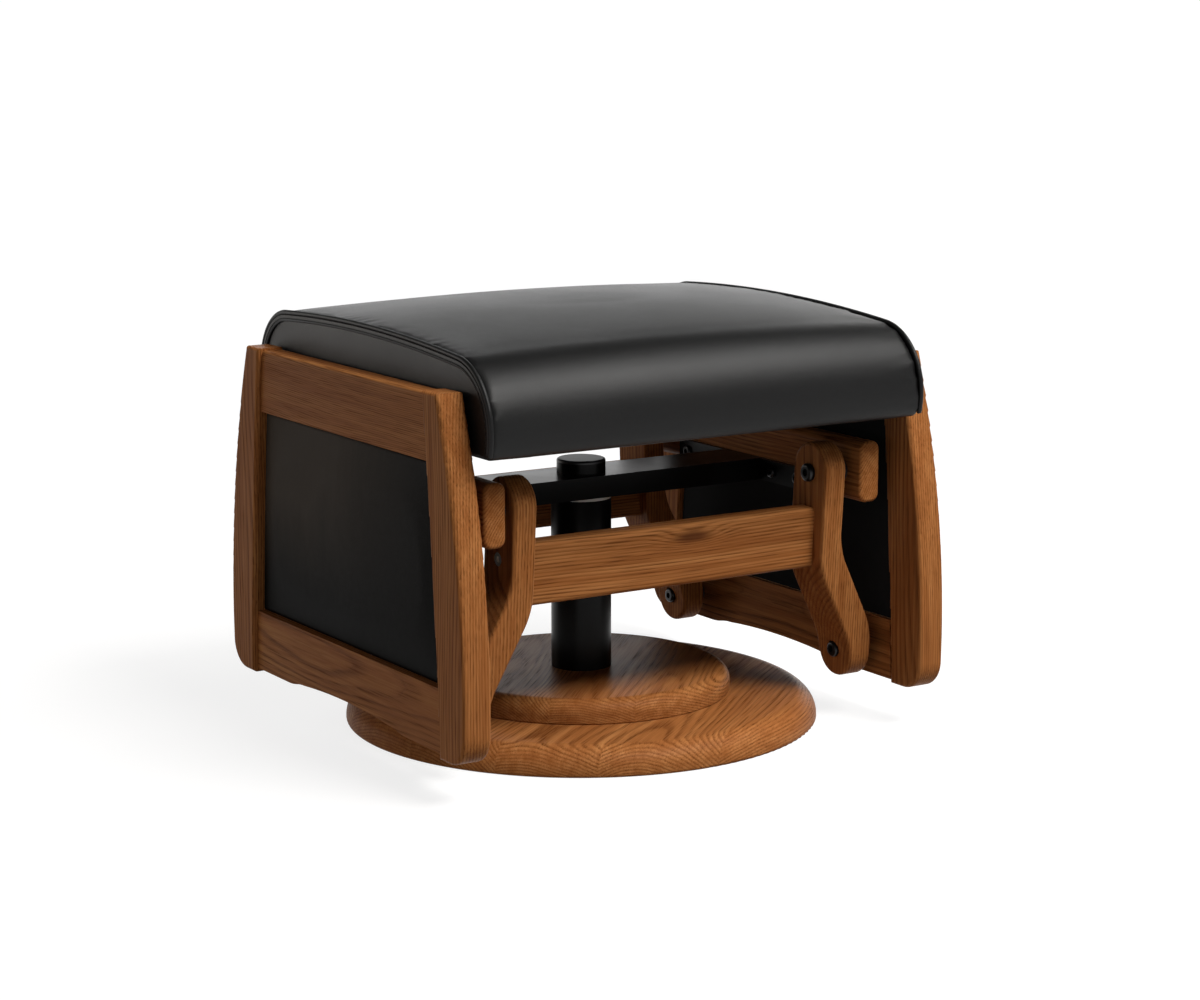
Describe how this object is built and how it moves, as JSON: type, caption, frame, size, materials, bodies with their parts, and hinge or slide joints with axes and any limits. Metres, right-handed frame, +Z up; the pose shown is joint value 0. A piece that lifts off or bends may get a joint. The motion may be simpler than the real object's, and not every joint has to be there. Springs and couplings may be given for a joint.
{
  "type": "glider ottoman",
  "caption": "Swivel glider ottoman with a curved padded seat, panelled wooden side frames hung on swinging links, and a round stepped base.",
  "frame": {"origin": "on the floor under the column's axis, at the centre of the box in X and Y", "axes": "+X to the right across the width, -Y towards the front, +Z up; the seat is stored in its neutral position"},
  "size_m": [0.5054, 0.443, 0.3923],
  "materials": {
    "oak": "medium brown stained oak, satin lacquer",
    "plywood": "bare plywood",
    "beech": "bare beech",
    "black_leather": "smooth semi-gloss black leather",
    "black_cloth": "thin black non-woven cloth",
    "foam": "polyurethane foam",
    "black_steel": "semi-gloss black powder coat",
    "black_fastener": "black oxide",
    "zinc_steel": "zinc plated steel",
    "pale_nylon": "natural nylon",
    "black_nylon": "black nylon"
  },
  "bodies": {
    "base": {"base_disc": "oak", "base_riser_disc": "oak", "base_plate": "black_steel", "column_tube": "black_steel", "column_bolts": "zinc_steel", "riser_screws": "zinc_steel", "upper_swivel_bushing": "pale_nylon", "lower_swivel_bushing": "pale_nylon"},
    "carrier": {"spindle_tube": "black_steel", "spindle_retaining_ring": "zinc_steel", "spindle_cap": "black_nylon", "crossbar": "black_steel", "rail_flange_left": "black_steel", "rail_flange_right": "black_steel", "flange_screws": "black_fastener", "glide_rail_left": "oak", "glide_rail_right": "oak", "upper_pivot_bolts": "black_fastener", "upper_pivot_nuts": "zinc_steel", "upper_pivot_spacers": "black_nylon"},
    "front_links": {"front_link_left": "oak", "front_link_right": "oak", "front_stretcher": "oak", "front_link_bushings": "black_nylon", "front_stretcher_screws": "zinc_steel"},
    "rear_links": {"rear_link_left": "oak", "rear_link_right": "oak", "rear_stretcher": "oak", "rear_link_bushings": "black_nylon", "rear_stretcher_screws": "zinc_steel"},
    "seat": {"left_front_leg": "oak", "left_rear_leg": "oak", "left_top_rail": "oak", "left_bottom_rail": "oak", "left_panel_board": "plywood", "left_panel_pad": "black_leather", "left_panel_lining": "black_cloth", "left_frame_dowels": "beech", "right_front_leg": "oak", "right_rear_leg": "oak", "right_top_rail": "oak", "right_bottom_rail": "oak", "right_panel_board": "plywood", "right_panel_pad": "black_leather", "right_panel_lining": "black_cloth", "right_frame_dowels": "beech", "seat_brackets": "zinc_steel", "bracket_screws": "zinc_steel", "seat_board": "plywood", "cushion_foam": "foam", "cushion_cover": "black_leather", "dust_cover": "black_cloth", "lower_pivot_bolts": "black_fastener", "lower_pivot_spacers": "black_nylon", "lower_pivot_inserts": "zinc_steel"}
  },
  "joints": [
    {"name": "swivel", "type": "hinge", "parent": "base", "child": "carrier", "pos_m": [0, 0, 0.2095], "axis": [0, 0, 1], "continuous": true},
    {"name": "front_swing", "type": "hinge", "parent": "carrier", "child": "front_links", "pos_m": [0, -0.1485, 0.2371], "axis": [1, 0, 0], "range_deg": [-15, 15]},
    {"name": "rear_swing", "type": "hinge", "parent": "carrier", "child": "rear_links", "pos_m": [0, 0.1485, 0.2371], "axis": [1, 0, 0], "range_deg": [-15.5, 15.5]},
    {"name": "seat_tilt", "type": "hinge", "parent": "front_links", "child": "seat", "pos_m": [0, -0.1355, 0.0641], "axis": [1, 0, 0], "range_deg": [-17, 17]}
  ],
  "couplings": [
    {"joint": "rear_swing", "follows": "front_swing", "ratio": 1},
    {"joint": "seat_tilt", "follows": "front_swing", "ratio": -1.0945}
  ]
}
